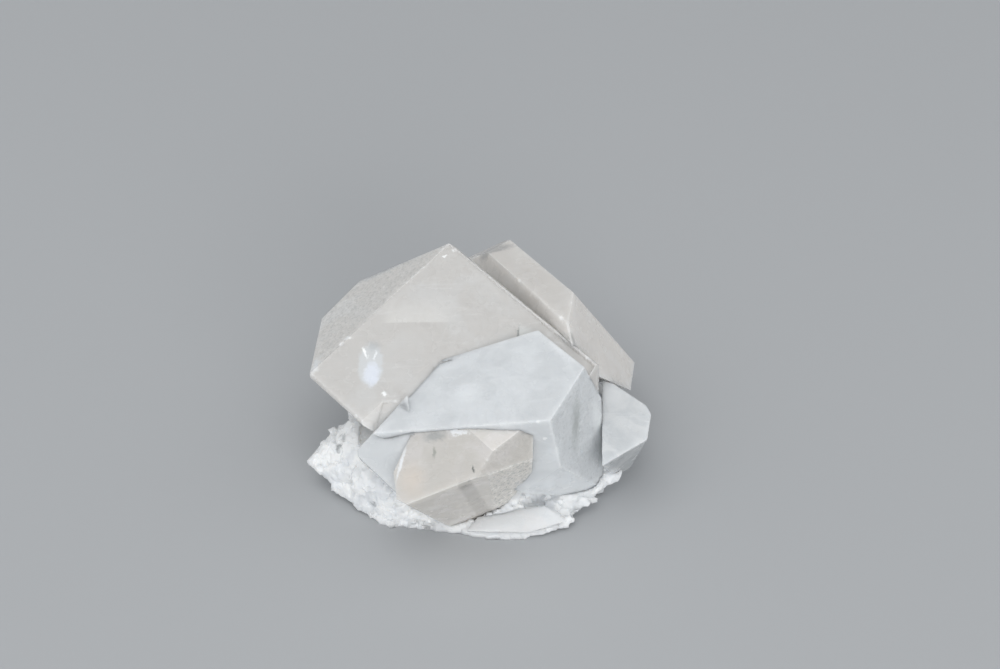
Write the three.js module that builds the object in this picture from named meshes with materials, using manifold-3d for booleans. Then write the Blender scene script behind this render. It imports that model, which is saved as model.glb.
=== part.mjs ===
// A quartz crystal cluster: seven blunt, milky crystals grown into one another on a broken rock base.
// Units are millimetres. X runs to the right, Y to the back, Z up, and the base rests on Z = 0.
import * as THREE from 'three';
import { ConvexGeometry } from 'three/addons/geometries/ConvexGeometry.js';
import { mergeVertices } from 'three/addons/utils/BufferGeometryUtils.js';
import Module from 'manifold-3d';

// Quartz always grows with the same angles: six prism faces around the long axis, and six end faces,
// each one square to its prism face but leaned 38.2 degrees toward the end of the axis.
const PRISM_SIDES = 6;
const END_FACE_LEAN = 38.2;

// Neighbouring pieces stop this far from each other, so that each one is a closed body of its own.
const CONTACT_GAP = 0.3;

// The crystals are rooted in the base and end this far above the ground, so only the base touches it.
const ROOT_HEIGHT = 1.2;

// Each crystal has a middle point, the direction of its long axis (heading and climb, in degrees),
// the turn of its prism about that axis, and the distance from the middle to every face it has.
// Faces are numbered around the prism. "prism" faces run along the axis, "tip" faces close its upper
// end and "root" faces its lower end. "breaks" are all the sides that follow none of these, such as
// broken ones and those that grew against a neighbour: heading, climb, distance.
const CRYSTALS = {
  // The middle crystal stands in front of the others and cuts into all of them.
  crystal_centre: {
    middle: [10, -9, 15],
    axis: { heading: 163, climb: 38, turn: -25 },
    prism: { 3: 8 },
    tip: { 0: 14.2 },
    root: { 0: 11, 5: 11.1 },
    breaks: [
      { heading: -93, climb: 3, distance: 10.3 },
      { heading: 150.5, climb: 31.5, distance: 22.5 },
      { heading: -150, climb: -60, distance: 8.3 },
      { heading: 41, climb: 22, distance: 13.3 },
      { heading: 108, climb: 26, distance: 15.1 },
      { heading: -160, climb: -35, distance: 20.8 },
      { heading: 15, climb: -1, distance: 13.6 },
      { heading: -97, climb: -72, distance: 16.4 },
    ],
  },
  // The largest crystal lies on its back and points up to the left, with one corner chipped away.
  crystal_left: {
    middle: [-15, 4, 23],
    axis: { heading: 138, climb: 14.5, turn: -19.5 },
    prism: { 0: 8.6, 1: 23.1, 2: 15.5, 3: 11.4, 4: 11.3, 5: 19.4 },
    tip: { 0: 11.7, 2: 16.5 },
    root: { 0: 27.2, 2: 33.8 },
    breaks: [
      { heading: 177, climb: -3.5, distance: 17.2 },
      { heading: 142, climb: 15, distance: 18.9 },
      { heading: -90, climb: 0, distance: 20.2 },
      { heading: 0, climb: -90, distance: 12 },
      { heading: -37, climb: 10.5, distance: 36.7 },
    ],
    notch: [
      { heading: -61, climb: 34, distance: 11.1 },
      { heading: -90, climb: 44, distance: 12.8 },
    ],
  },
  // A second large crystal lies behind the first, almost side by side with it.
  crystal_back: {
    middle: [12, 18, 24],
    axis: { heading: 123.5, climb: -2, turn: -7.5 },
    prism: { 0: 10.5, 1: 8.3, 3: 12.5, 4: 6.9, 5: 8.4 },
    tip: { 0: 15.3 },
    root: { 1: 12.4 },
    breaks: [
      { heading: 35.5, climb: 31, distance: 6.3 },
      { heading: 26.5, climb: 24, distance: 10.5 },
      { heading: -12, climb: -17, distance: 26.2 },
      { heading: -115, climb: -43, distance: 10 },
      { heading: 108, climb: 47, distance: 15.7 },
      { heading: 90, climb: 0, distance: 14 },
    ],
  },
  // A smaller crystal in front repeats the shape of the middle one.
  crystal_front: {
    middle: [-5, -18, 12],
    axis: { heading: 169.5, climb: 37.5, turn: -29.5 },
    prism: { 3: 11.3 },
    tip: { 0: 11.4 },
    root: { 5: 6.9 },
    breaks: [
      { heading: -93, climb: 76, distance: 12.3 },
      { heading: -62.5, climb: 47.5, distance: 14.1 },
      { heading: -62.5, climb: -20.5, distance: 7.4 },
      { heading: -3, climb: -1.5, distance: 15.2 },
      { heading: 157.5, climb: 4.5, distance: 7.8 },
      { heading: -179, climb: -19, distance: 7.9 },
      { heading: -151, climb: -48, distance: 9.2 },
      { heading: -124, climb: -38, distance: 9.3 },
      { heading: 75, climb: 25, distance: 9 },
      { heading: -146, climb: -39, distance: 8.8 },
      { heading: 11, climb: -25, distance: 12 },
    ],
  },
  // A thin crystal fills the corner between the front, the middle and the left ones.
  crystal_side: {
    middle: [-18, -21, 16],
    breaks: [
      { heading: -123, climb: 56, distance: 3 },
      { heading: 178, climb: -17, distance: 4.4 },
      { heading: 156, climb: -9.5, distance: 5.9 },
      { heading: -144, climb: -43, distance: 1.4 },
      { heading: -142, climb: -23.5, distance: 2 },
      { heading: 17, climb: -14, distance: 4.1 },
      { heading: 133, climb: 9.5, distance: 6 },
      { heading: 57, climb: -56, distance: 11.7 },
      { heading: -68.5, climb: -21.5, distance: 10.2 },
    ],
  },
  // A low crystal shows one bright face just above the front edge of the base.
  crystal_low: {
    middle: [7, -21, 2],
    breaks: [
      { heading: -117, climb: 77.5, distance: 1.1 },
      { heading: -92, climb: -45, distance: 2 },
      { heading: -67, climb: -42, distance: 2.8 },
      { heading: 46, climb: 17, distance: 6.2 },
      { heading: 146, climb: 2, distance: 6.6 },
      { heading: 100, climb: 23, distance: 1.8 },
    ],
  },
  // A stubby, rounded crystal closes the cluster on the right.
  crystal_right: {
    middle: [29, -3, 10],
    breaks: [
      { heading: -77, climb: 75, distance: 8.1 },
      { heading: 47, climb: 29.5, distance: 5.5 },
      { heading: 21, climb: 13, distance: 5 },
      { heading: -6.5, climb: -14, distance: 3.4 },
      { heading: -52.5, climb: -24, distance: 6.4 },
      { heading: 175, climb: -12.5, distance: 2.4 },
      { heading: 0, climb: -90, distance: 7 },
      { heading: 90, climb: 0, distance: 14 },
    ],
  },
};

// The rock base is broken white quartz. It is put together from overlapping blocks, each one given by
// its corner points, and ends in one piece.
const ROCK_BLOCKS = [
  // the middle block, which carries the weight
  [
    [-20, -20, 0], [-8, -19.6, 0], [1, -23.6, 0], [17, -16, 0], [23, -13, 0], [24, 2, 0], [18, 16, 0],
    [2, 22, 0], [-14, 19, 0], [-24, 8, 0], [-26, -8, 0], [-28, 6, 8], [-18, 22, 8], [3, 27, 7],
    [21, 20, 8], [27, 4, 8], [-20, 2, 16], [-12, 18, 17], [6, 21, 16], [18, 12, 16], [20, -4, 15],
    [6, -10, 12], [-12, -14, 8],
  ],
  // the slab that runs out to a thin tip on the left
  [
    [-34.7, -8, 6], [-33, -7, 3.5], [-30.5, -9, 3], [-29, -12.5, 1.5], [-24, -16.8, 0.4],
    [-18, -21, 0], [-10.5, -20.3, 0], [-26, -4.5, 14.5], [-29.5, -3, 11], [-27, 2, 5],
    [-22, -15.5, 8], [-15, -18, 6], [-16, 0, 14], [-18, 0, 0],
  ],
  // the lip along the front edge
  [
    [-7.5, -19.8, 0], [-3, -22, 0.8], [0.9, -25, 0], [9.1, -24.4, 0], [17, -21.5, 0.8],
    [17.5, -20, 2], [23, -15.6, 3], [24, -12, 4], [14, -12, 0], [-6, -14, 0],
    [-2, -18, 2], [14, -16, 1.6],
  ],
  // the foot under the right hand crystal
  [
    [23, -15, 4], [28, -11.4, 4.6], [30, -8, 7.2], [31.5, 2, 6.5], [28, 12, 7], [18, 16, 0],
    [22, -10, 0], [27, -6, 0], [27, 6, 0], [18, 0, 10], [20, 12, 12],
  ],
  // the lump that holds up the two large crystals from behind
  [
    [-22, 12, 4], [-14, 24, 6], [2, 31, 8], [18, 26, 9], [24, 14, 9], [-20, 10, 20], [-10, 22, 21],
    [4, 27, 19], [16, 20, 18], [0, 8, 24], [0, 4, 4],
  ],
];

const QUARTZ = { color: 0xe2e2df, roughness: 0.25, metalness: 0, flatShading: true };
const ROCK = { color: 0xe9ebec, roughness: 0.75, metalness: 0, flatShading: true };

const manifoldLibrary = await Module();
manifoldLibrary.setup();

// Turns a heading around Z and a climb above the ground, both in degrees, into a unit vector.
function direction(heading, climb) {
  const headingAngle = THREE.MathUtils.degToRad(heading);
  const climbAngle = THREE.MathUtils.degToRad(climb);
  return new THREE.Vector3(
    Math.cos(climbAngle) * Math.cos(headingAngle),
    Math.cos(climbAngle) * Math.sin(headingAngle),
    Math.sin(climbAngle),
  );
}

// Makes the plane whose outward side faces "normal" and which lies "distance" from the middle point.
function planeAt(middle, normal, distance) {
  return { normal, offset: normal.dot(middle) + distance };
}

// The direction of one numbered prism face of a crystal with this axis.
function prismNormal(axis, number) {
  const along = direction(axis.heading, axis.climb);
  const upward = new THREE.Vector3(0, 0, 1);
  upward.addScaledVector(along, -upward.dot(along)).normalize();
  const faceAngle = axis.turn + (360 / PRISM_SIDES) * number;
  return upward.applyAxisAngle(along, THREE.MathUtils.degToRad(faceAngle));
}

// The direction of an end face: the prism face leaned toward one end of the axis (+1 tip, -1 root).
function endNormal(axis, number, end) {
  const lean = THREE.MathUtils.degToRad(END_FACE_LEAN);
  const along = direction(axis.heading, axis.climb);
  return prismNormal(axis, number)
    .multiplyScalar(Math.cos(lean))
    .addScaledVector(along, end * Math.sin(lean));
}

// All the planes that bound one crystal, each moved outward by "growth".
function crystalPlanes(crystal, growth) {
  const middle = new THREE.Vector3(...crystal.middle);
  const planes = [];
  for (const [number, distance] of Object.entries(crystal.prism ?? {})) {
    planes.push(planeAt(middle, prismNormal(crystal.axis, Number(number)), distance + growth));
  }
  for (const [number, distance] of Object.entries(crystal.tip ?? {})) {
    planes.push(planeAt(middle, endNormal(crystal.axis, Number(number), 1), distance + growth));
  }
  for (const [number, distance] of Object.entries(crystal.root ?? {})) {
    planes.push(planeAt(middle, endNormal(crystal.axis, Number(number), -1), distance + growth));
  }
  for (const side of crystal.breaks) {
    planes.push(planeAt(middle, direction(side.heading, side.climb), side.distance + growth));
  }
  planes.push({ normal: new THREE.Vector3(0, 0, -1), offset: growth - ROOT_HEIGHT });
  return planes;
}

// The point where three planes meet, or null where they do not meet in one point.
function meetingPoint(first, second, third) {
  const secondCrossThird = second.normal.clone().cross(third.normal);
  const determinant = first.normal.dot(secondCrossThird);
  if (Math.abs(determinant) < 1e-6) {
    return null;
  }
  return secondCrossThird
    .multiplyScalar(first.offset)
    .addScaledVector(third.normal.clone().cross(first.normal), second.offset)
    .addScaledVector(first.normal.clone().cross(second.normal), third.offset)
    .divideScalar(determinant);
}

// The corners of the space inside a set of planes.
function cornersInside(planes) {
  const tolerance = 1e-6;
  const corners = [];
  for (let i = 0; i < planes.length; i += 1) {
    for (let j = i + 1; j < planes.length; j += 1) {
      for (let k = j + 1; k < planes.length; k += 1) {
        const corner = meetingPoint(planes[i], planes[j], planes[k]);
        if (corner && planes.every((plane) => plane.normal.dot(corner) < plane.offset + tolerance)) {
          corners.push(corner);
        }
      }
    }
  }
  return corners;
}

// Turns a three.js geometry into a solid that can be added to and cut from others.
function toSolid(geometry) {
  geometry.deleteAttribute('normal');
  geometry.deleteAttribute('uv');
  const welded = mergeVertices(geometry, 1e-4);
  return new manifoldLibrary.Manifold(new manifoldLibrary.Mesh({
    numProp: 3,
    vertProperties: new Float32Array(welded.attributes.position.array),
    triVerts: new Uint32Array(welded.index.array),
  }));
}

// The solid that fills the space between a set of corner points.
function solidFromCorners(corners) {
  return toSolid(new ConvexGeometry(corners));
}

// One crystal on its own, before its neighbours cut into it.
function crystalSolid(crystal, growth) {
  const planes = crystalPlanes(crystal, growth);
  const whole = solidFromCorners(cornersInside(planes));
  if (!crystal.notch) {
    return whole;
  }
  const middle = new THREE.Vector3(...crystal.middle);
  const inwardSides = crystal.notch.map((side) => {
    const outward = direction(side.heading, side.climb);
    return planeAt(middle, outward.negate(), -side.distance - growth);
  });
  const notchReach = 2;
  const outerSides = crystalPlanes(crystal, growth + notchReach);
  return whole.subtract(solidFromCorners(cornersInside([...outerSides, ...inwardSides])));
}

// The whole rock base before the crystals cut into it.
function rockSolid() {
  const blocks = ROCK_BLOCKS.map((corners) => (
    solidFromCorners(corners.map((corner) => new THREE.Vector3(...corner)))
  ));
  return blocks.reduce((joined, block) => joined.add(block));
}

// Cutting can leave loose crumbs beside a piece. Only the largest body is the piece itself.
function largestBody(solid) {
  const bodies = solid.decompose();
  bodies.sort((a, b) => b.volume() - a.volume());
  return bodies[0];
}

function toMesh(name, solid, finish) {
  const result = solid.getMesh();
  const geometry = new THREE.BufferGeometry();
  geometry.setAttribute('position', new THREE.BufferAttribute(result.vertProperties, 3));
  geometry.setIndex(new THREE.BufferAttribute(result.triVerts, 1));
  const mesh = new THREE.Mesh(geometry, new THREE.MeshStandardMaterial(finish));
  mesh.name = name;
  return mesh;
}

// Earlier crystals in the list keep their full shape, and each later piece gives way to them.
const pieces = [];
const taken = [];
for (const [name, crystal] of Object.entries(CRYSTALS)) {
  const whole = crystalSolid(crystal, 0);
  const left = taken.reduce((solid, neighbour) => solid.subtract(neighbour), whole);
  pieces.push(toMesh(name, largestBody(left), QUARTZ));
  taken.push(crystalSolid(crystal, CONTACT_GAP));
}
const rock = taken.reduce((solid, neighbour) => solid.subtract(neighbour), rockSolid());
pieces.push(toMesh('rock_base', largestBody(rock), ROCK));

const cluster = new THREE.Group();
cluster.name = 'quartz_crystal_cluster';
cluster.add(...pieces);

// The origin is the middle of the footprint, on the ground.
const bounds = new THREE.Box3().setFromObject(cluster);
const centre = bounds.getCenter(new THREE.Vector3());
cluster.position.set(-centre.x, -centre.y, -bounds.min.z);

export default cluster;
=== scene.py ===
import math
import random

import bmesh
import bpy
import numpy as np
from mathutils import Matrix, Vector, noise
from mathutils.bvhtree import BVHTree
from mathutils.geometry import delaunay_2d_cdt


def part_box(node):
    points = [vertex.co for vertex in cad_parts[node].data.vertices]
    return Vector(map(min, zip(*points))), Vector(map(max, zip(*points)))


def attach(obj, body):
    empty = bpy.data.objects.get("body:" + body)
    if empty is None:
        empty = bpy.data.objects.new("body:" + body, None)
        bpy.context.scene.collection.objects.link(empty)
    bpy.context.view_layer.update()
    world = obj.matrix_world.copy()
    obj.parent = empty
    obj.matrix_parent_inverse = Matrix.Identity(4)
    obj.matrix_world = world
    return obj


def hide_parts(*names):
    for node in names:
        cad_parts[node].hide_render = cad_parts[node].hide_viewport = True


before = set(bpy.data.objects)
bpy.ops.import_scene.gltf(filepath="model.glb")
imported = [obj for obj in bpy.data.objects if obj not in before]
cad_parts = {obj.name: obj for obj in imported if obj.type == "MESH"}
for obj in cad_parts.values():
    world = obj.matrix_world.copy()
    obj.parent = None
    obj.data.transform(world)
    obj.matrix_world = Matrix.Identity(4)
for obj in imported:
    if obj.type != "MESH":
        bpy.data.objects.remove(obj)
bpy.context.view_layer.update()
MM = 0.001


# --- Camera -------------------------------------------------------------------------------------
# A lens a little longer than normal looks down on the cluster from the front, as over a table edge.
lens_mm = 70
look_down = math.radians(40)
camera_distance = 402 * MM
aim = Vector((4.4, 17.2, 18.0)) * MM
camera_data = bpy.data.cameras.new("camera")
camera_data.lens = lens_mm
camera_data.sensor_width = 36
camera_data.clip_start = 10 * MM
camera = bpy.data.objects.new("camera", camera_data)
camera.location = aim + camera_distance * Vector((0, -math.cos(look_down), math.sin(look_down)))
camera.rotation_euler = (math.radians(90) - look_down, 0, 0)
bpy.context.scene.collection.objects.link(camera)
bpy.context.scene.camera = camera
bpy.context.scene.view_settings.view_transform = "Standard"


# --- Floor and light ----------------------------------------------------------------------------
# A plain sheet of pale paper that curves up far behind. One wide soft lamp hangs overhead, a second
# one stands low in front, and even light comes from all round.
def linear_colour(hex_colour):
    """Turns an sRGB hex value into the linear colour that the renderer works in."""
    channels = [int(hex_colour[i:i + 2], 16) / 255 for i in (1, 3, 5)]
    linear = [c / 12.92 if c <= 0.04045 else ((c + 0.055) / 1.055) ** 2.4 for c in channels]
    return (*linear, 1.0)


def new_material(name):
    """An empty material with the node tree to build on and its Principled shader."""
    material = bpy.data.materials.new(name)
    material.use_nodes = True
    tree = material.node_tree
    return material, tree, tree.nodes["Principled BSDF"]


def build_mesh(name, points, faces, material):
    """Makes a smooth-shaded object from points in metres."""
    mesh = bpy.data.meshes.new(name)
    mesh.from_pydata([tuple(p) for p in points], [], [tuple(f) for f in faces])
    mesh.materials.append(material)
    mesh.polygons.foreach_set("use_smooth", [True] * len(mesh.polygons))
    mesh.update()
    piece = bpy.data.objects.new(name, mesh)
    bpy.context.scene.collection.objects.link(piece)
    return piece


# matt paper: no shine, only soft shadows
floor_paper, tree, shader = new_material("matt_pale_paper")
shader.inputs["Base Color"].default_value = linear_colour("#b2b4b6")
shader.inputs["Roughness"].default_value = 0.9
shader.inputs["Specular IOR Level"].default_value = 0.2
half_width = 3.0
front_end = -1.5
bend_start = 1.2
bend_radius = 0.8
bend_steps = 12
wall_height = 3.0
profile = [(front_end, 0.0), (bend_start, 0.0)]
for step in range(1, bend_steps + 1):
    bend = math.radians(90) * step / bend_steps
    rise = bend_radius - bend_radius * math.cos(bend)
    profile.append((bend_start + bend_radius * math.sin(bend), rise))
profile.append((bend_start + bend_radius, wall_height))
points = [(side * half_width, y, z) for y, z in profile for side in (-1, 1)]
faces = [(2 * i, 2 * i + 1, 2 * i + 3, 2 * i + 2) for i in range(len(profile) - 1)]
floor = build_mesh("floor", points, faces, floor_paper)

world = bpy.data.worlds.new("even_light")
world.use_nodes = True
world.node_tree.nodes["Background"].inputs["Color"].default_value = (0.96, 0.98, 1.0, 1.0)
world.node_tree.nodes["Background"].inputs["Strength"].default_value = 0.76
bpy.context.scene.world = world

lamp_target = Vector((0, 0, 0.015))
lamps = [
    # name, place, width and power
    ("overhead_lamp", (-0.25, -0.2, 0.9), 0.9, 2.3),
    ("front_lamp", (0.3, -0.9, 0.14), 0.7, 4.4),
]
for name, location, size, power in lamps:
    lamp_data = bpy.data.lights.new(name, "AREA")
    lamp_data.size = size
    lamp_data.energy = power
    lamp = bpy.data.objects.new(name, lamp_data)
    lamp.location = location
    lamp.rotation_euler = (lamp_target - Vector(location)).to_track_quat("-Z", "Y").to_euler()
    bpy.context.scene.collection.objects.link(lamp)


# --- Left crystal -------------------------------------------------------------------------------
# The largest crystal, of a clearer milky quartz, grown up to the left against the back and middle
# ones. Its left end face is frosted, a healed crack shows as a white oval inside the broad front
# face, and a faint veil crosses it.

# Every crystal starts from its own solid. Where it has grown into a neighbour it is pushed in a
# little, so that no gap is left between the two. Its open sides get a fine net of triangles, which
# is worn along the edges, chipped, and given the low terraces that crystal faces grow in.
# Lengths are in millimetres. furthest_corner counts in sink depths, clear_of_edge in net spacings,
# chip_spread in chip sizes and chip_depths in the radius of the chip.
weld_gap = 0.02
flat_angle = math.radians(0.5)
gap_reach = 0.8
contact_tries = 120
hidden_share = 0.82
partly_hidden_share = 0.28
hidden_depth = 0.55
partly_hidden_depth = 0.32
furthest_corner = 1.6
flattest_corner = 0.35
smallest_sunk_area = 16.0
net_spacing = 0.45
rim_spacing = 0.22
rim_width = 0.8
clear_of_edge = 0.6
chip_gap = 9.0
chip_size = 0.9
chip_spread = (0.5, 1.4)
chip_depths = (0.06, 0.2)
terrace_width = 7.0
terrace_height = 0.13
terrace_steps = 6
terrace_steepness = 3.5
small_terrace_scale = 0.3
small_terrace_share = 0.35
ripple_width = 0.9
ripple_height = 0.03
frost_grain = 0.45
frost_clump = 1.3
frost_clump_share = 0.6
frost_middle = 0.35
frost_height = 0.28
edge_glint_and_wear_width = 0.5
white_chip_depth = 0.08
faintest_edge = math.radians(4)
faintest_chipped_edge = math.radians(12)
crease_angle = math.radians(32)
same_side_angle = math.radians(2.6)
pattern_shift = (31.7, 11.3, 5.9)


def direction(heading, climb):
    """The unit vector with a heading around Z and a climb above the floor, both in degrees."""
    heading, climb = math.radians(heading), math.radians(climb)
    across = math.cos(climb)
    return Vector((across * math.cos(heading), across * math.sin(heading), math.sin(climb)))


def flat_sides(node):
    """The solid of one node in millimetres, with each flat side as one face."""
    body = bmesh.new()
    body.from_mesh(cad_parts[node].data)
    bmesh.ops.scale(body, vec=(1 / MM,) * 3, verts=body.verts)
    bmesh.ops.remove_doubles(body, verts=body.verts, dist=weld_gap)
    bmesh.ops.dissolve_limit(body, angle_limit=flat_angle, verts=body.verts, edges=body.edges)
    body.normal_update()
    return body


def neighbours_of(node):
    """All the other solids as one surface in millimetres."""
    points, faces = [], []
    for other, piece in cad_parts.items():
        if other == node:
            continue
        start = len(points)
        points.extend(vertex.co / MM for vertex in piece.data.vertices)
        faces.extend([start + i for i in side.vertices] for side in piece.data.polygons)
    return BVHTree.FromPolygons(points, faces)


def share_grown_in(side, others, rng):
    """How much of a side looks straight at a neighbour a short way off, from 0 to 1."""
    middle = side.calc_center_median()
    corners = [corner.co for corner in side.verts]
    hits = 0
    for _ in range(contact_tries):
        first = rng.randrange(len(corners))
        low, high = sorted((rng.random(), rng.random()))
        place = corners[first] * low + corners[first - 1] * (high - low) + middle * (1 - high)
        hits += others.ray_cast(place, side.normal, gap_reach)[0] is not None
    return hits / contact_tries


def sink_contacts(body, depths):
    """Moves each contact side outward by its depth, while the open sides stay in their planes."""
    moves = {}
    for corner in body.verts:
        normals = [side.normal[:] for side in corner.link_faces]
        shifts = [depths[side] for side in corner.link_faces]
        if any(shifts):
            solved = np.linalg.lstsq(np.array(normals), np.array(shifts), rcond=flattest_corner)
            move = Vector(solved[0])
            furthest = furthest_corner * max(shifts)
            moves[corner] = move * min(1.0, furthest / max(move.length, 1e-9))
    for corner, move in moves.items():
        corner.co += move
    body.normal_update()


def distance_to_lines(spots, starts, ends):
    """How far each flat spot is from the nearest of some straight lines."""
    along = ends - starts
    length = np.maximum((along ** 2).sum(axis=1), 1e-12)
    from_start = spots[:, None, :] - starts[None, :, :]
    share = np.clip((from_start * along).sum(axis=2) / length, 0, 1)
    return np.linalg.norm(from_start - share[..., None] * along, axis=2).min(axis=1)


def inside_outline(spots, outline):
    """Which flat spots lie inside a closed outline."""
    inside = np.zeros(len(spots), bool)
    for start, end in zip(outline, np.roll(outline, -1, axis=0)):
        crosses = (start[1] > spots[:, 1]) != (end[1] > spots[:, 1])
        rise = end[1] - start[1] if end[1] != start[1] else 1e-12
        reach = start[0] + (spots[:, 1] - start[1]) * (end[0] - start[0]) / rise
        inside ^= crosses & (spots[:, 0] < reach)
    return inside


def even_spots(outline, spacing):
    """A grid of evenly spaced spots over the outline."""
    low, high = outline.min(axis=0), outline.max(axis=0)
    rows = np.arange(low[1], high[1], spacing * math.sqrt(3) / 2)
    spots = []
    for number, y in enumerate(rows):
        x = np.arange(low[0] + (number % 2) * spacing / 2, high[0], spacing)
        spots.append(np.column_stack([x, np.full(len(x), y)]))
    return np.concatenate(spots) if spots else np.zeros((0, 2))


def net_spots(corners, after, open_lines, near, spacing):
    """Spots inside one outline: those near its open edges, or all the others."""
    spots = even_spots(corners, spacing)
    spots = spots[inside_outline(spots, corners)]
    spots = spots[distance_to_lines(spots, corners, after) > clear_of_edge * spacing]
    if not open_lines:
        return spots[:0] if near else spots
    away = distance_to_lines(spots, corners[open_lines], after[open_lines])
    return spots[(away <= rim_width) == near]


def fine_net(body, contacts):
    """Covers every side with small triangles, closer together along the open edges.

    Returns the points, the side that each one lies in (-1 on an edge), how far each one is from an
    open edge, the triangles, and the side of each triangle."""
    points = [corner.co.copy() for corner in body.verts]
    home = [-1] * len(points)
    rim = [rim_width] * len(points)
    open_edges = set()
    chains = {}
    for edge in body.edges:
        is_open = not any(side in contacts for side in edge.link_faces)
        if is_open and edge.calc_face_angle(0) > faintest_edge:
            open_edges.add(edge)
        first, last = edge.verts
        spacing = rim_spacing if edge in open_edges else net_spacing
        parts = max(1, round(edge.calc_length() / spacing))
        chain = [first.index]
        for part in range(1, parts):
            chain.append(len(points))
            points.append(first.co.lerp(last.co, part / parts))
        chain.append(last.index)
        home.extend([-1] * (parts - 1))
        rim.extend([rim_width] * (parts - 1))
        if edge in open_edges:
            for number in chain:
                rim[number] = 0.0
        chains[edge] = chain
    triangles, owners = [], []
    for side in body.faces:
        origin = side.loops[0].vert.co
        across = (side.loops[1].vert.co - origin).normalized()
        up = side.normal.cross(across)

        def flat(point):
            return ((point - origin).dot(across), (point - origin).dot(up))

        outline = []
        for loop in side.loops:
            chain = chains[loop.edge]
            outline.extend(chain[:-1] if chain[0] == loop.vert.index else chain[:0:-1])
        corners = np.array([flat(loop.vert.co) for loop in side.loops])
        after = np.roll(corners, -1, axis=0)
        open_lines = [i for i, loop in enumerate(side.loops) if loop.edge in open_edges]
        wide = net_spots(corners, after, open_lines, False, net_spacing)
        close = net_spots(corners, after, open_lines, True, rim_spacing)
        inner = np.concatenate([wide, close])
        away = np.full(len(inner), rim_width)
        if open_lines and len(inner):
            away = distance_to_lines(inner, corners[open_lines], after[open_lines])
        numbers = list(outline)
        for (x, y), gap in zip(inner, away):
            numbers.append(len(points))
            points.append(origin + across * x + up * y)
            home.append(side.index)
            rim.append(min(gap, rim_width))
        spots = [Vector(flat(points[i])) for i in outline] + [Vector(spot) for spot in inner]
        ring = [list(range(len(outline)))]
        net, _, cells, sources, _, _ = delaunay_2d_cdt(spots, [], ring, 1, 1e-5)
        renumbered = []
        for spot, source in zip(net, sources):
            if source:
                renumbered.append(numbers[source[0]])
                continue
            renumbered.append(len(points))
            points.append(origin + across * spot.x + up * spot.y)
            home.append(side.index)
            rim.append(rim_width)
        triangles.extend([renumbered[i] for i in cell] for cell in cells)
        owners.extend([side.index] * len(cells))
    return np.array(points), np.array(home), np.array(rim), np.array(triangles), np.array(owners)


def rounded(points, triangles, chosen, rounds):
    """Wears the chosen points down toward the middle of their neighbours."""
    pairs = np.concatenate([triangles[:, [0, 1]], triangles[:, [1, 2]], triangles[:, [2, 0]]])
    pairs = np.concatenate([pairs, pairs[:, ::-1]])
    pairs = np.unique(pairs, axis=0)
    count = np.bincount(pairs[:, 0], minlength=len(points))[:, None]
    for _ in range(rounds):
        total = np.zeros_like(points)
        np.add.at(total, pairs[:, 0], points[pairs[:, 1]])
        middle = total / np.maximum(count, 1)
        points[chosen] = 0.5 * points[chosen] + 0.5 * middle[chosen]


def scooped(points, chips):
    """Presses in the shell-like hollow of each chip, given by its centre outside and its radius."""
    hollow = np.zeros(len(points))
    for centre, radius in chips:
        offset = points - np.array(centre)
        length = np.linalg.norm(offset, axis=1)
        cut = length < radius
        hollow[cut] = np.maximum(hollow[cut], radius - length[cut])
        points[cut] = np.array(centre) + offset[cut] * (radius / length[cut])[:, None]
    return hollow


def edge_chips(body, contacts, rng):
    """Small chips at uneven places along the open edges, about one in every gap."""
    chips = []
    for edge in body.edges:
        if any(side in contacts for side in edge.link_faces) or not edge.is_convex:
            continue
        if edge.calc_face_angle(0) < faintest_chipped_edge:
            continue
        outward = sum((side.normal for side in edge.link_faces), Vector()).normalized()
        expected = edge.calc_length() / chip_gap
        number = int(expected) + (rng.random() < expected % 1)
        for _ in range(number):
            radius = chip_size * rng.uniform(*chip_spread)
            depth = radius * rng.uniform(*chip_depths)
            place = edge.verts[0].co.lerp(edge.verts[1].co, rng.random())
            chips.append((place + outward * (radius - depth), radius))
    return chips


def growth_relief(place, frost):
    """How far one place on a face stands out: low, rounded growth steps, ripples and frost."""
    broad = noise.noise(place / terrace_width)
    small = noise.noise(place / (small_terrace_scale * terrace_width))
    level = (broad + small_terrace_share * small) * terrace_steps
    rise = min(1.0, terrace_steepness * (level % 1))
    lift = terrace_height / terrace_steps * (math.floor(level) + rise)
    lift += ripple_height * noise.noise(place / ripple_width)
    grain = abs(noise.noise(place / frost_grain))
    grain += frost_clump_share * abs(noise.noise(place / frost_clump))
    return lift + frost_height * frost * (grain - frost_middle)


def values_by_side(body, listed):
    """The value that each side gets from a list of headings, climbs and values."""
    values = np.zeros(len(body.faces))
    for side in body.faces:
        for heading, climb, value in listed:
            if side.normal.angle(direction(heading, climb)) < same_side_angle:
                values[side.index] = value
    return values


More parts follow.
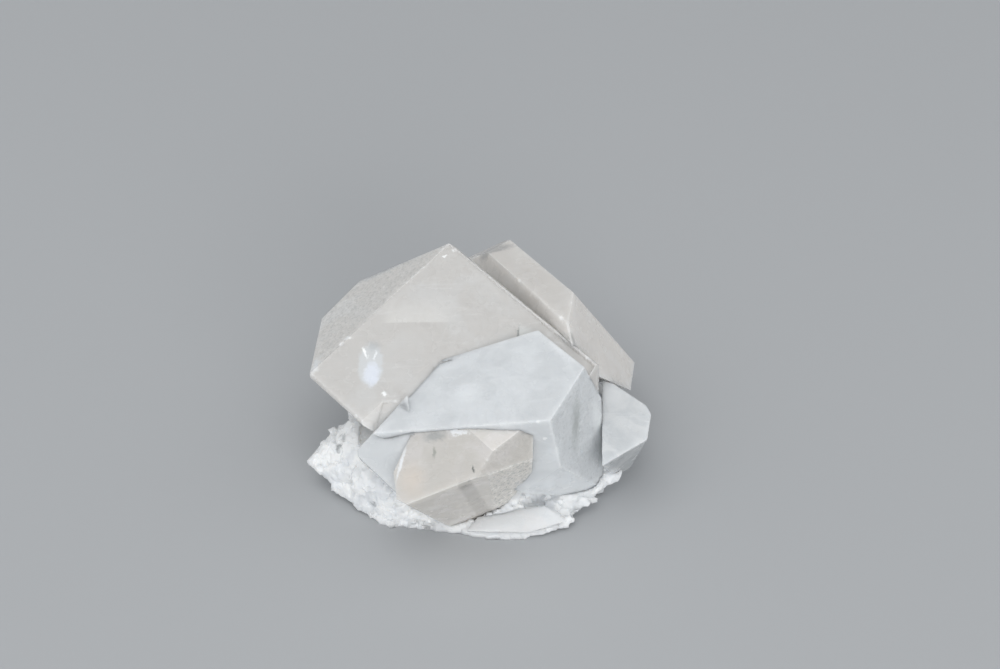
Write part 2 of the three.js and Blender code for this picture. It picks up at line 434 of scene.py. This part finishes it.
def grow_crystal(name, node, material, seed, frosted=(), painted_facet_shades=(), chips=(), wear=1):
    """Makes the detailed crystal that stands for one node, and hands it over to the frame."""
    rng = random.Random(seed)
    body = flat_sides(node)
    others = neighbours_of(node)
    contacts, depths = set(), {}
    for side in body.faces:
        share = share_grown_in(side, others, rng)
        depths[side] = 0.0
        if share > hidden_share:
            contacts.add(side)
        if side.calc_area() < smallest_sunk_area:
            continue
        if share > hidden_share:
            depths[side] = hidden_depth
        elif share > partly_hidden_share:
            depths[side] = partly_hidden_depth
    sink_contacts(body, depths)
    for group in (body.verts, body.faces):
        group.ensure_lookup_table()
        group.index_update()
    points, home, rim, triangles, owners = fine_net(body, contacts)
    small_chips = edge_chips(body, contacts, rng)
    frost_of_side = values_by_side(body, frosted)
    painted_shade_of_side = values_by_side(body, painted_facet_shades)
    grown_in = {side.index for side in contacts}
    shift = Vector([seed * amount for amount in pattern_shift])
    for number, side in enumerate(home):
        if side < 0 or side in grown_in:
            continue
        fade = min(1.0, rim[number] / rim_width)
        lift = growth_relief(Vector(points[number]) + shift, frost_of_side[side]) * fade
        points[number] += np.array(body.faces[side].normal) * lift
    rounded(points, triangles, rim < 0.5 * rim_spacing, wear)
    hollow = scooped(points, small_chips + list(chips))
    body.free()
    crystal = build_mesh(name, points * MM, triangles, material)
    surface_values = [
        ("frost", "FACE", frost_of_side[owners]),
        ("painted_facet_shade", "FACE", painted_shade_of_side[owners]),
        ("edge", "POINT", np.clip(1 - rim / edge_glint_and_wear_width, 0, 1)),
        ("chipped", "POINT", np.clip(hollow / white_chip_depth, 0, 1)),
    ]
    for title, domain, values in surface_values:
        crystal.data.attributes.new(title, "FLOAT", domain).data.foreach_set("value", values)
    crystal.data.set_sharp_from_angle(angle=crease_angle)
    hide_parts(node)
    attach(crystal, "root")


def add_node(tree, kind, inputs=None, **settings):
    """Adds one shader node with its settings, and sets or links its inputs."""
    node = tree.nodes.new(kind)
    for name, value in settings.items():
        setattr(node, name, value)
    for key, value in (inputs or {}).items():
        if isinstance(value, bpy.types.NodeSocket):
            tree.links.new(value, node.inputs[key])
        else:
            node.inputs[key].default_value = value
    return node


# How often each pattern repeats in a millimetre: veils eight millimetres long and one wide, grains
# of 0.6, smudges of 4, relief of the skin of 0.55, and the wavering borders of patches and of cuts.
veils_per_mm = (0.12, 0.9, 0.35)
grains_per_mm = 1.6
smudges_per_mm = 0.25
skin_relief_per_mm = 1.8
patch_waver_per_mm = 1.1
cut_waver_per_mm = 0.9


def milky_quartz(name, clear, cloudy, cloud_size=9.0, cloud_share=0.5, seed=0.0, glow=2.6):
    """Milky quartz, between a clear and a cloudy colour, with its tree, shader and place socket.

    It is glassy at the skin, with drifts of tiny bubbles below that scatter the light, finer veils, and
    white along the edges, partly bruising and partly painted edge highlight. All pattern sizes are in
    millimetres."""
    material, tree, shader = new_material(name)
    metres = add_node(tree, "ShaderNodeTexCoord").outputs["Object"]
    place = add_node(
        tree, "ShaderNodeVectorMath", {0: metres, 1: (1 / MM,) * 3}, operation="MULTIPLY"
    ).outputs[0]
    shifted = add_node(
        tree, "ShaderNodeVectorMath", {0: place, 1: (seed, 2 * seed, 3 * seed)}, operation="ADD"
    ).outputs[0]

    # drifts of cloud, several millimetres across
    drift = add_node(
        tree,
        "ShaderNodeTexNoise",
        {"Vector": shifted, "Scale": 1 / cloud_size, "Detail": 4.0, "Roughness": 0.55, "Distortion": 0.8},
    ).outputs["Fac"]
    drift = add_node(
        tree,
        "ShaderNodeMapRange",
        {"Value": drift, "From Min": 0.72 - 0.5 * cloud_share, "From Max": 0.86 - 0.5 * cloud_share},
    ).outputs["Result"]
    colour = add_node(
        tree,
        "ShaderNodeMix",
        {0: drift, 6: linear_colour(clear), 7: linear_colour(cloudy)},
        data_type="RGBA",
    ).outputs[2]

    # thin veils, drawn out in one direction
    stretched = add_node(
        tree,
        "ShaderNodeMapping",
        {"Vector": shifted, "Rotation": (0.6, 0.4, 0.9), "Scale": veils_per_mm},
    ).outputs["Vector"]
    veil = add_node(
        tree,
        "ShaderNodeTexNoise",
        {"Vector": stretched, "Scale": 1.0, "Detail": 5.0, "Roughness": 0.65, "Distortion": 1.2},
    ).outputs["Fac"]
    veil = add_node(
        tree, "ShaderNodeMapRange", {"Value": veil, "From Min": 0.56, "From Max": 0.74, "To Max": 0.15}
    ).outputs["Result"]
    colour = add_node(
        tree, "ShaderNodeMix", {0: veil, 6: colour, 7: linear_colour("#f2f4f6")}, data_type="RGBA"
    ).outputs[2]

    # grains: dark pits and bright flecks where a face is frosted, white along the edges that is partly
    # bruising and partly painted edge highlight, and white in the chips
    frost = add_node(tree, "ShaderNodeAttribute", attribute_name="frost").outputs["Fac"]
    edge = add_node(tree, "ShaderNodeAttribute", attribute_name="edge").outputs["Fac"]
    chipped = add_node(tree, "ShaderNodeAttribute", attribute_name="chipped").outputs["Fac"]
    grain = add_node(
        tree,
        "ShaderNodeTexNoise",
        {"Vector": shifted, "Scale": grains_per_mm, "Detail": 4.0, "Roughness": 0.7},
    ).outputs["Fac"]
    flecks = add_node(
        tree, "ShaderNodeMapRange", {"Value": grain, "From Min": 0.58, "From Max": 0.68}
    ).outputs["Result"]
    edge_glint_and_bruise = add_node(tree, "ShaderNodeMath", {0: edge, 1: flecks}, operation="MULTIPLY").outputs[0]
    edge_glint_and_bruise = add_node(tree, "ShaderNodeMath", {0: edge_glint_and_bruise, 1: chipped}, operation="MAXIMUM").outputs[0]
    frosty = add_node(tree, "ShaderNodeMath", {0: frost, 1: flecks}, operation="MULTIPLY").outputs[0]
    pits = add_node(
        tree, "ShaderNodeMapRange", {"Value": grain, "From Min": 0.5, "From Max": 0.36}
    ).outputs["Result"]
    pits = add_node(tree, "ShaderNodeMath", {0: pits, 1: frost}, operation="MULTIPLY").outputs[0]
    colour = add_node(
        tree, "ShaderNodeMix", {0: pits, 6: colour, 7: linear_colour("#a3a4a2")}, data_type="RGBA"
    ).outputs[2]
    white = add_node(tree, "ShaderNodeMath", {0: edge_glint_and_bruise, 1: frosty}, operation="MAXIMUM").outputs[0]
    white = add_node(tree, "ShaderNodeMath", {0: white, 1: 0.5}, operation="MULTIPLY").outputs[0]
    colour = add_node(
        tree, "ShaderNodeMix", {0: white, 6: colour, 7: linear_colour("#fbfbfb")}, data_type="RGBA"
    ).outputs[2]

    # painted light and shade: some faces are painted lighter or darker than others, by the value each face
    # carries
    painted_facet_shade = add_node(tree, "ShaderNodeAttribute", attribute_name="painted_facet_shade").outputs["Fac"]
    painted_facet_shade = add_node(tree, "ShaderNodeMath", {0: painted_facet_shade, 1: 1.0}, operation="ADD").outputs[0]
    colour = add_node(
        tree, "ShaderNodeVectorMath", {0: colour, "Scale": painted_facet_shade}, operation="SCALE"
    ).outputs[0]

    # roughness: glassy, duller where it is frosted or smudged
    smudge = add_node(
        tree, "ShaderNodeTexNoise", {"Vector": shifted, "Scale": smudges_per_mm, "Detail": 3.0}
    ).outputs["Fac"]
    dull = add_node(
        tree,
        "ShaderNodeMapRange",
        {"Value": smudge, "From Min": 0.3, "From Max": 0.7, "To Min": 0.16, "To Max": 0.34},
    ).outputs["Result"]
    dull = add_node(
        tree, "ShaderNodeMath", {0: frost, 1: 0.3, 2: dull}, operation="MULTIPLY_ADD"
    ).outputs[0]
    tree.links.new(dull, shader.inputs["Roughness"])

    # relief of the skin, too fine for the mesh
    fine = add_node(
        tree,
        "ShaderNodeTexNoise",
        {"Vector": shifted, "Scale": skin_relief_per_mm, "Detail": 5.0, "Roughness": 0.65},
    ).outputs["Fac"]
    strength = add_node(
        tree, "ShaderNodeMath", {0: frost, 1: 0.8, 2: 0.12}, operation="MULTIPLY_ADD"
    ).outputs[0]
    relief = add_node(
        tree, "ShaderNodeBump", {"Strength": strength, "Distance": 0.3 * MM, "Height": fine}
    ).outputs["Normal"]
    tree.links.new(relief, shader.inputs["Normal"])
    shader.inputs["IOR"].default_value = 1.54
    shader.inputs["Subsurface Weight"].default_value = 1.0
    shader.inputs["Subsurface Radius"].default_value = (1.0, 0.97, 0.94)
    shader.inputs["Subsurface Scale"].default_value = glow * MM
    tree.links.new(colour, shader.inputs["Base Color"])
    return material, tree, shader, place


def patch(tree, shader, place, middle, reach, colour, strength, turn, soft, ragged):
    """Lays an oval patch of another colour over the material, with a soft and ragged border."""
    before = shader.inputs["Base Color"].links[0].from_socket
    wobble = add_node(
        tree,
        "ShaderNodeTexNoise",
        {"Vector": place, "Scale": patch_waver_per_mm, "Detail": 3.0, "Roughness": 0.6},
    ).outputs["Color"]
    wobble = add_node(
        tree, "ShaderNodeVectorMath", {0: wobble, 1: (0.5, 0.5, 0.5)}, operation="SUBTRACT"
    ).outputs[0]
    wobble = add_node(
        tree, "ShaderNodeVectorMath", {0: wobble, 1: (4 * ragged,) * 3, 2: place}, operation="MULTIPLY_ADD"
    ).outputs[0]
    own = add_node(
        tree,
        "ShaderNodeMapping",
        {"Vector": wobble, "Location": middle, "Rotation": [math.radians(a) for a in turn], "Scale": reach},
        vector_type="TEXTURE",
    ).outputs["Vector"]
    distance = add_node(tree, "ShaderNodeVectorMath", {0: own}, operation="LENGTH").outputs["Value"]
    mask = add_node(
        tree,
        "ShaderNodeMapRange",
        {"Value": distance, "From Min": 1.0, "From Max": 1.0 - soft, "To Max": strength},
        interpolation_type="SMOOTHSTEP",
    ).outputs["Result"]
    after = add_node(
        tree, "ShaderNodeMix", {0: mask, 6: before, 7: linear_colour(colour)}, data_type="RGBA"
    ).outputs[2]
    tree.links.new(after, shader.inputs["Base Color"])


def cut_patch(tree, shader, place, cuts, colour, strength, ragged=0.0):
    """Lays another colour over what lies inside some flat cuts: heading, climb, distance, softness."""
    before = shader.inputs["Base Color"].links[0].from_socket
    wobble = add_node(
        tree, "ShaderNodeTexNoise", {"Vector": place, "Scale": cut_waver_per_mm, "Detail": 3.0}
    ).outputs["Fac"]
    mask = add_node(tree, "ShaderNodeValue").outputs[0]
    mask.default_value = strength
    for heading, climb, distance, soft in cuts:
        along = add_node(
            tree, "ShaderNodeVectorMath", {0: place, 1: direction(heading, climb)}, operation="DOT_PRODUCT"
        ).outputs["Value"]
        along = add_node(
            tree, "ShaderNodeMath", {0: wobble, 1: 4 * ragged, 2: along}, operation="MULTIPLY_ADD"
        ).outputs[0]
        inside = add_node(
            tree,
            "ShaderNodeMapRange",
            {"Value": along, "From Min": distance, "From Max": distance - soft},
            interpolation_type="SMOOTHSTEP",
        ).outputs["Result"]
        mask = add_node(tree, "ShaderNodeMath", {0: mask, 1: inside}, operation="MULTIPLY").outputs[0]
    after = add_node(
        tree, "ShaderNodeMix", {0: mask, 6: before, 7: linear_colour(colour)}, data_type="RGBA"
    ).outputs[2]
    tree.links.new(after, shader.inputs["Base Color"])


# clear milky quartz: the greyest and glassiest of them
left_quartz, tree, shader, place = milky_quartz(
    "clear_milky_quartz", "#c8c6c3", "#cbcac8", cloud_size=11.0, cloud_share=0.45, seed=3.0
)
veil_cuts = [(90, 0, 10.0, 6.5), (-90, 0, -3.6, 0.25), (0, 0, -3.0, 6.0), (180, 0, 19.5, 3.0)]
cut_patch(tree, shader, place, veil_cuts, "#dcdbd8", 0.6)
face_tilt = (24, 0, 0)
left_patches = [
    # middle, reach, colour, strength, turn, softness and raggedness
    # the healed crack, with its grey upper end and two white streaks
    ((-20.8, -4.4, 28.4), (2.9, 5.3, 4.0), "#d3d6d8", 0.75, face_tilt, 0.3, 0.4),
    ((-20.3, -0.6, 29.9), (1.9, 1.5, 3.0), "#b4b7b8", 0.55, face_tilt, 0.8, 0.4),
    ((-20.5, -6.2, 27.4), (2.0, 3.2, 3.0), "#dee2e9", 1.0, face_tilt, 0.5, 0.4),
    ((-22.0, -2.0, 29.4), (0.5, 1.8, 2.0), "#f6f7f7", 1.0, (24, 0, 20), 0.6, 0.4),
    ((-20.0, -2.6, 29.2), (0.4, 1.3, 2.0), "#f0f2f4", 0.8, (24, 0, -12), 0.7, 0.4),
    # white specks
    ((-25.5, 1.1, 30.6), (1.3, 0.6, 1.5), "#f6f7f7", 0.9, face_tilt, 0.9, 0.4),
    ((-18.0, -10.2, 26.0), (0.6, 0.8, 1.5), "#f6f7f7", 1.0, face_tilt, 0.8, 0.4),
    ((-4.9, 18.2, 39.3), (0.5, 0.4, 1.0), "#f6f7f7", 1.0, face_tilt, 0.8, 0.4),
    ((-6.7, 16.8, 38.7), (0.5, 0.5, 1.0), "#f6f7f7", 1.0, face_tilt, 0.8, 0.4),
    # the whiter left corner
    ((-31.6, -3.6, 27.7), (1.4, 4.0, 2.0), "#e6e8e9", 0.8, (24, 0, -12), 0.9, 0.6),
    # the short crack beside the middle crystal, its step darkened as painted shade
    ((7.8, 0.6, 32.3), (0.35, 2.9, 2.0), "#868a88", 0.8, (24, 0, -14), 0.7, 0.25),
]
for values in left_patches:
    patch(tree, shader, place, *values)
notch_cuts = [(180, 0, -8.0, 0.3), (-14, 0, 10.6, 1.2), (76, 0, 5.2, 1.5), (-90, 0, 0.5, 1.0)]
cut_patch(tree, shader, place, notch_cuts, "#d6d7d5", 0.8)
grow_crystal(
    "left_crystal",
    "crystal_left",
    left_quartz,
    seed=1,
    frosted=[(170, 61, 0.45)],
    # painted light: the frosted left end face and the two faces of the notch are painted lighter
    painted_facet_shades=[(170, 61, 0.22), (-61, 34, 0.12), (-90, 44, 0.12)],
    chips=[((8.2, -0.9, 36.5), 4.4)],
)

# --- Back crystal -------------------------------------------------------------------------------
# Nearly as large, of milky quartz too, grown side by side with the left one. A darker strip runs along its
# upper left end, a facet turned away from the light that is painted darker as painted shade, and a smudge
# marks the corner beside the middle crystal.

# dull milky quartz: warm, even and a little greasy
back_quartz, tree, shader, place = milky_quartz(
    "dull_milky_quartz", "#d7d4d0", "#dcdad7", cloud_size=12.0, cloud_share=0.45, seed=11.0
)
back_patches = [
    # middle, reach, colour, strength, turn, softness and raggedness
    ((18.2, -1.0, 32.0), (1.3, 1.6, 2.0), "#a9aaa7", 0.7, (0, 0, 0), 0.9, 0.4),
    ((8.5, 23.9, 34.4), (3.4, 4.5, 3.0), "#dcdad6", 0.6, (0, 0, 0), 0.8, 0.4),
    # the dark strip along the upper left end: painted shade
    ((3.0, 25.5, 33.2), (6.5, 1.5, 3.0), "#a8a8a8", 0.7, (0, 0, 8), 0.6, 0.4),
]
for values in back_patches:
    patch(tree, shader, place, *values)
grow_crystal(
    # painted light and shade: the right face a little lighter, the back face of the upper left strip darker
    "back_crystal", "crystal_back", back_quartz, seed=2, painted_facet_shades=[(-10, 30, 0.06), (132, 49, -0.1)]
)

# --- Middle crystal -----------------------------------------------------------------------------
# The crystal in front of the two large ones, which both give way to it. It is milky quartz whose
# bubbles reach the skin, in rounded drifts of cloud. Its right side is clearer, with a dark, grainy
# streak beside a pale rim.

# white milky quartz: cool, soft and cloudy
middle_quartz, tree, shader, place = milky_quartz(
    "white_milky_quartz", "#cfd2d4", "#d6d9db", cloud_size=8.0, cloud_share=0.55, seed=5.0
)
middle_patches = [
    # middle, reach, colour, strength, turn, softness and raggedness
    # the streak and the pale rim of the right side
    ((19.0, -14.0, 22.0), (1.5, 3.0, 8.5), "#a8acab", 0.85, (-17, 0, 0), 1.0, 0.6),
    ((23.6, -9.4, 16.5), (1.8, 3.0, 11.0), "#dfe2e3", 0.7, (0, 0, 53), 0.7, 0.3),
    # brighter clouds on the top
    ((-1.8, -11.3, 27.5), (4.5, 3.0, 3.0), "#e4e7e9", 0.6, (20, 0, 20), 0.9, 0.8),
    ((16.3, -4.6, 32.2), (4.8, 1.6, 3.0), "#e2e4e6", 0.7, (0, 0, -45), 0.8, 0.6),
    # white flecks low in front
    ((13.0, -19.2, 23.0), (0.6, 1.0, 0.5), "#f0f1f2", 0.9, (0, 0, 0), 0.8, 0.4),
    ((18.8, -16.1, 7.5), (1.2, 1.0, 0.5), "#e6e8e9", 0.9, (0, 0, 0), 0.8, 0.4),
]
for values in middle_patches:
    patch(tree, shader, place, *values)
grow_crystal(
    "middle_crystal",
    "crystal_centre",
    middle_quartz,
    seed=3,
    frosted=[(-37, 10.5, 0.25)],
    # painted light and shade: the right side a shade darker, the lower front faces lighter
    painted_facet_shades=[(-37, 10.5, -0.02), (-73, -19, 0.08), (-93, 3, 0.02)],
)

# --- Front crystal ------------------------------------------------------------------------------
# A smaller crystal of milky quartz, grown out in front of the middle one. Its left edge is white, dark
# cracks and flecks lie inside, a darker band crosses its lower face, and its lower right side grew rough.

# warm milky quartz: yellowish grey, and clearer than the middle one
front_quartz, tree, shader, place = milky_quartz(
    "warm_milky_quartz", "#c7c4bf", "#cecbc8", cloud_size=8.0, cloud_share=0.45, seed=8.0
)
front_patches = [
    # middle, reach, colour, strength, turn, softness and raggedness
    # a warm zone, a dark patch and dark flecks under the top
    ((-12.2, -27.3, 19.5), (4.0, 6.0, 4.0), "#d6cec5", 0.8, (0, 0, 0), 1.0, 0.4),
    ((-8.0, -19.4, 23.4), (3.4, 1.6, 3.0), "#a3a5a4", 0.8, (0, 0, 0), 0.8, 0.5),
    ((-8.1, -22.4, 22.1), (0.5, 1.8, 3.0), "#94968f", 0.7, (0, 0, 0), 0.8, 0.4),
    ((-0.6, -26.6, 21.6), (0.3, 1.0, 3.0), "#6f726f", 0.9, (0, 0, 10), 0.7, 0.2),
    # the white left edge, and white splinters under the middle crystal
    ((-14.4, -24.0, 20.6), (0.45, 6.5, 3.0), "#ebedef", 0.9, (0, 0, -15), 0.8, 0.2),
    ((-3.6, -18.9, 24.2), (2.6, 1.1, 3.0), "#f0f2f4", 0.9, (0, 0, -10), 0.7, 0.8),
    # the dark upper end of the lower face
    ((-2.2, -27.8, 18.1), (1.9, 2.0, 1.2), "#8e8d89", 0.7, (0, 0, 0), 0.8, 0.6),
]
for values in front_patches:
    patch(tree, shader, place, *values)
band_cuts = [(112, 22, -15.7, 0.2), (14, 18, -0.6, 0.7), (-166, -18, 4.4, 0.7)]
cut_patch(tree, shader, place, band_cuts, "#aeaba7", 0.5, 0.1)
patch(
    tree, shader, place, (-8.6, -28.0, 12.7), (2.6, 2.0, 1.6), "#dcdad6", 0.8, (0, 0, 0), 0.9, 1.2
)
grow_crystal(
    "front_crystal",
    "crystal_front",
    front_quartz,
    seed=4,
    frosted=[(-62.5, -20.5, 1.0), (-62.5, 47.5, 0.2)],
    # painted light and shade: the top and the lower faces lighter, the upper right face darker
    painted_facet_shades=[(-93, 76, 0.2), (-62.5, 47.5, -0.1), (-68, -22, 0.1), (-62.5, -20.5, 0.2)],
)

# --- Side, low and right crystals ---------------------------------------------------------------
# Small crystals of the same quartz that fill the corners: pale ones at the side and on the right,
# and a bright one low down in front. The right one is the most worn, so it is rounded off further.

# bright milky quartz: nearly white, and dense with bubbles
rim_quartz = milky_quartz(
    "bright_milky_quartz", "#f2f4f5", "#f8f8f8", cloud_size=6.0, cloud_share=0.5, seed=17.0
)[0]
# pale milky quartz: cool and a little clearer, with one cloudy corner on the right crystal
corner_quartz, tree, shader, place = milky_quartz(
    "pale_milky_quartz", "#cdd0d2", "#d9dbdc", cloud_size=7.0, cloud_share=0.5, seed=21.0
)
patch(
    tree, shader, place, (26.7, -2.4, 18.7), (2.6, 2.8, 3.0), "#e0e2e3", 0.8, (0, 0, 0), 0.6, 0.3
)
grow_crystal("side_crystal", "crystal_side", corner_quartz, seed=5)
grow_crystal("low_crystal", "crystal_low", rim_quartz, seed=6)
grow_crystal(
    # painted shade: the underside is painted darker
    "right_crystal", "crystal_right", corner_quartz, seed=7, painted_facet_shades=[(-52.5, -24, -0.22)], wear=8
)


# --- Rock base ----------------------------------------------------------------------------------
# Broken white quartz rock, which all the crystals grow from. The blocky solid is cut into small
# cells, and each cell is tilted its own way, as broken grains are, at three sizes.

# broken quartz rock: sugary and white, with a few grey spots where another mineral sat
rock_white, tree, shader, place = milky_quartz(
    "broken_white_quartz", "#e8eaec", "#f4f5f5", cloud_size=5.0, cloud_share=0.6, seed=14.0, glow=1.5
)
grey_spots = [
    # middle, reach, colour, strength, turn, softness and raggedness
    ((-27.8, -8.3, 10.0), (0.9, 1.4, 1.2), "#8e9193", 0.8, (0, 0, 0), 0.9, 0.6),
    ((-27.0, -7.0, 11.5), (0.7, 1.6, 0.9), "#a4a7a9", 0.7, (0, 0, 40), 0.9, 0.6),
    ((-21.1, -17.6, 3.4), (1.5, 1.2, 0.7), "#a2a5a7", 0.8, (0, 0, 0), 0.9, 0.6),
    ((-17.1, -20.5, 1.3), (1.5, 1.0, 0.7), "#9a9da0", 0.8, (0, 0, 0), 0.9, 0.6),
]
for values in grey_spots:
    patch(tree, shader, place, *values)

# grain widths in millimetres, each with the steepness of its tilt
grain_sizes = [(5.0, 0.22), (2.0, 0.24), (0.9, 0.22)]
rock_cell = 0.5
settled_depth = 0.15
contact_reach = 1.2
contact_lift = 0.5
still_height = 0.8
trim_height = 0.08
grain_edge_angle = math.radians(28)
tilt_pattern = 37.1


def tilted_grains(place, size, slope):
    """How far one place sticks out when every grain of this size lies at its own tilt."""
    scaled = place / size
    middle = noise.voronoi(scaled)[1][0]
    tilt = noise.cell_vector(middle * tilt_pattern) - Vector((0.5, 0.5, 0.5))
    return size * slope * 2 * tilt.dot(scaled - middle)


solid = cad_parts["rock_base"].data.copy()
blocks = bpy.data.objects.new("rock_blocks", solid)
bpy.context.scene.collection.objects.link(blocks)
remesh = blocks.modifiers.new("cells", "REMESH")
remesh.mode = "VOXEL"
remesh.voxel_size = rock_cell * MM
solid = bpy.data.meshes.new_from_object(blocks.evaluated_get(bpy.context.evaluated_depsgraph_get()))
bpy.data.objects.remove(blocks)
body = bmesh.new()
body.from_mesh(solid)

# the cells that hang below the ground are trimmed off, and the cut is closed again
trimmed = bmesh.ops.bisect_plane(
    body,
    geom=[*body.verts, *body.edges, *body.faces],
    plane_co=(0, 0, trim_height * MM),
    plane_no=(0, 0, 1),
    clear_inner=True,
)
cut_edges = [piece for piece in trimmed["geom_cut"] if isinstance(piece, bmesh.types.BMEdge)]
bmesh.ops.holes_fill(body, edges=cut_edges)
bmesh.ops.triangulate(body, faces=body.faces)
body.normal_update()

# the grains stand out less and less toward the ground, and close up against the crystals
others = neighbours_of("rock_base")
low_corner, high_corner = (Vector(corner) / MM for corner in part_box("rock_base"))
moved = []
for corner in body.verts:
    place = corner.co / MM
    lift = sum(tilted_grains(place, size, slope) for size, slope in grain_sizes) - settled_depth
    near = others.find_nearest(place, contact_reach)[3]
    if near is not None:
        nearness = 1 - near / contact_reach
        lift = max(lift, 0.0) * (1 - nearness) + contact_lift * nearness
    lift *= min(1.0, place.z / still_height)
    place = place + corner.normal * lift
    if place.z < 1.5 * trim_height:
        place.z = 0.0
    for axis in range(3):
        place[axis] = min(max(place[axis], low_corner[axis]), high_corner[axis])
    moved.append(place * MM)
faces = [[corner.index for corner in side.verts] for side in body.faces]
rock = build_mesh("rock", moved, faces, rock_white)
rock.data.set_sharp_from_angle(angle=grain_edge_angle)
body.free()
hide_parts("rock_base")
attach(rock, "root")
